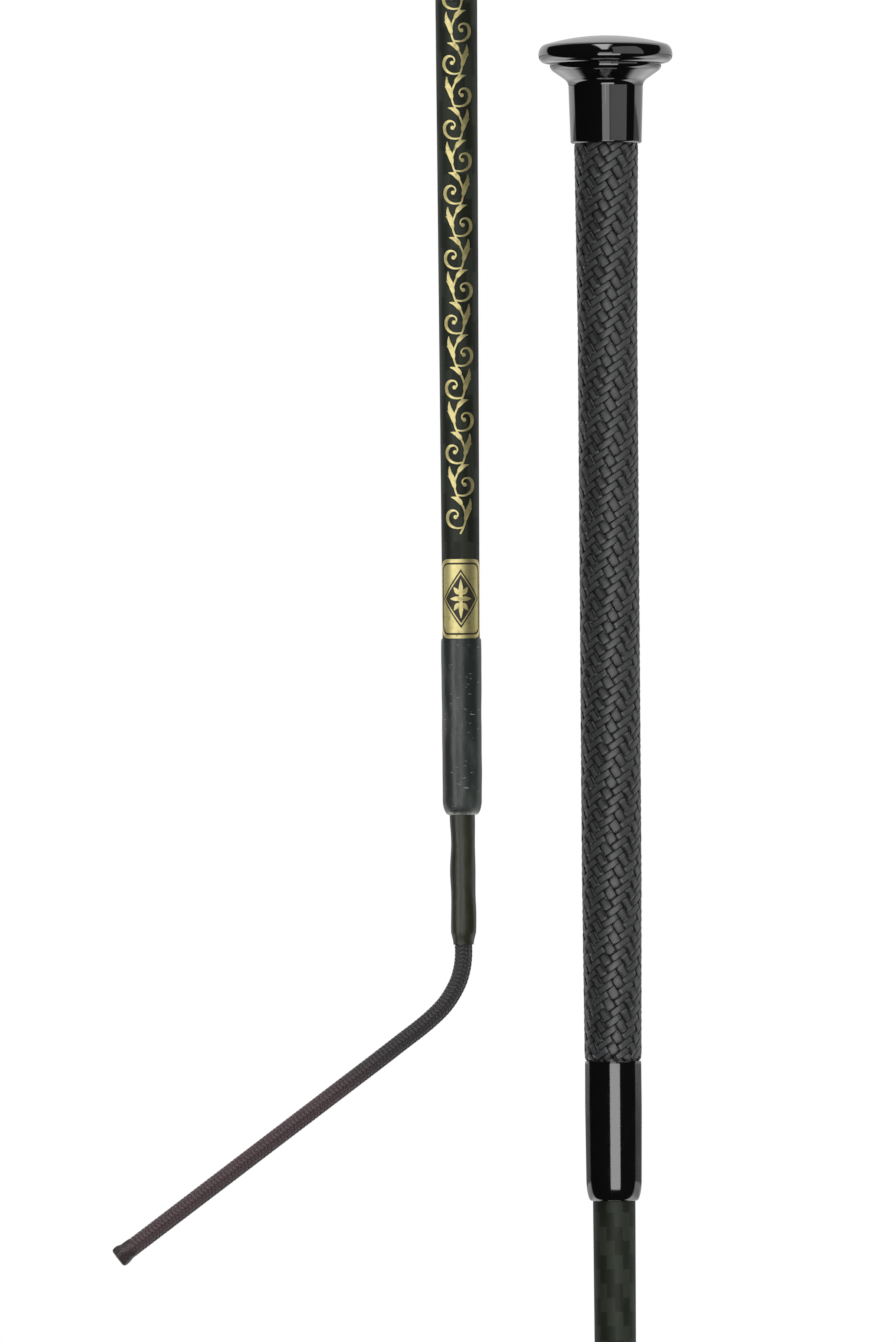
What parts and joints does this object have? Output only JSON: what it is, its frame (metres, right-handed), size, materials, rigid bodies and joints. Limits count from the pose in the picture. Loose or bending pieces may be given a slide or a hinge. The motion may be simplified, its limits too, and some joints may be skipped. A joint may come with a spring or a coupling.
{
  "type": "riding crop",
  "caption": "Dressage riding crop: mushroom cap, woven grip, tapered carbon shaft and a short bent braided lash at the tip.",
  "frame": {"origin": "middle of the woven grip, on the whip's axis", "axes": "+Z along the whip towards the cap, -Y the side with the gold ornament, -X the side the lash bends to"},
  "size_m": [0.0651, 0.0322, 1.0622],
  "materials": {
    "gloss_lacquer": "gloss black moulded cap, lacquered",
    "stud_steel": "turned steel",
    "ring_brass": "turned brass",
    "glass_fibre": "drawn glass-fibre rod",
    "carbon_weave": "woven carbon under a thin satin resin",
    "liner_rubber": "matt rubber tube",
    "woven_strip": "charcoal strips woven two over two, matt with a soft sheen",
    "waxed_thread": "waxed linen thread",
    "ferrule_gloss": "gloss black moulded sleeve",
    "packing_resin": "cast resin",
    "gold_foil": "transferred gold foil",
    "shrink_grey": "heat-shrunk sleeve, satin and lightly scratched",
    "plug_nylon": "turned nylon",
    "shrink_olive": "heat-shrunk sleeve, dark olive",
    "lash_cord": "tight braid of synthetic yarn",
    "lash_seal": "braid melted shut"
  },
  "bodies": {
    "root": {"cap_head": "gloss_lacquer", "cap_collar": "gloss_lacquer", "cap_stud": "stud_steel", "balance_ring": "ring_brass", "shaft_core": "glass_fibre", "shaft_skin": "carbon_weave", "grip_liner": "liner_rubber", "grip_braid": "woven_strip", "top_binding": "waxed_thread", "foot_binding": "waxed_thread", "ferrule": "ferrule_gloss", "ferrule_packing": "packing_resin", "gold_ornament": "gold_foil", "gold_band": "gold_foil", "tip_sleeve": "shrink_grey", "tip_plug": "plug_nylon", "lash_sleeve": "shrink_olive", "lash_root": "lash_cord", "lash": "lash_cord", "lash_end": "lash_seal"}
  },
  "joints": []
}
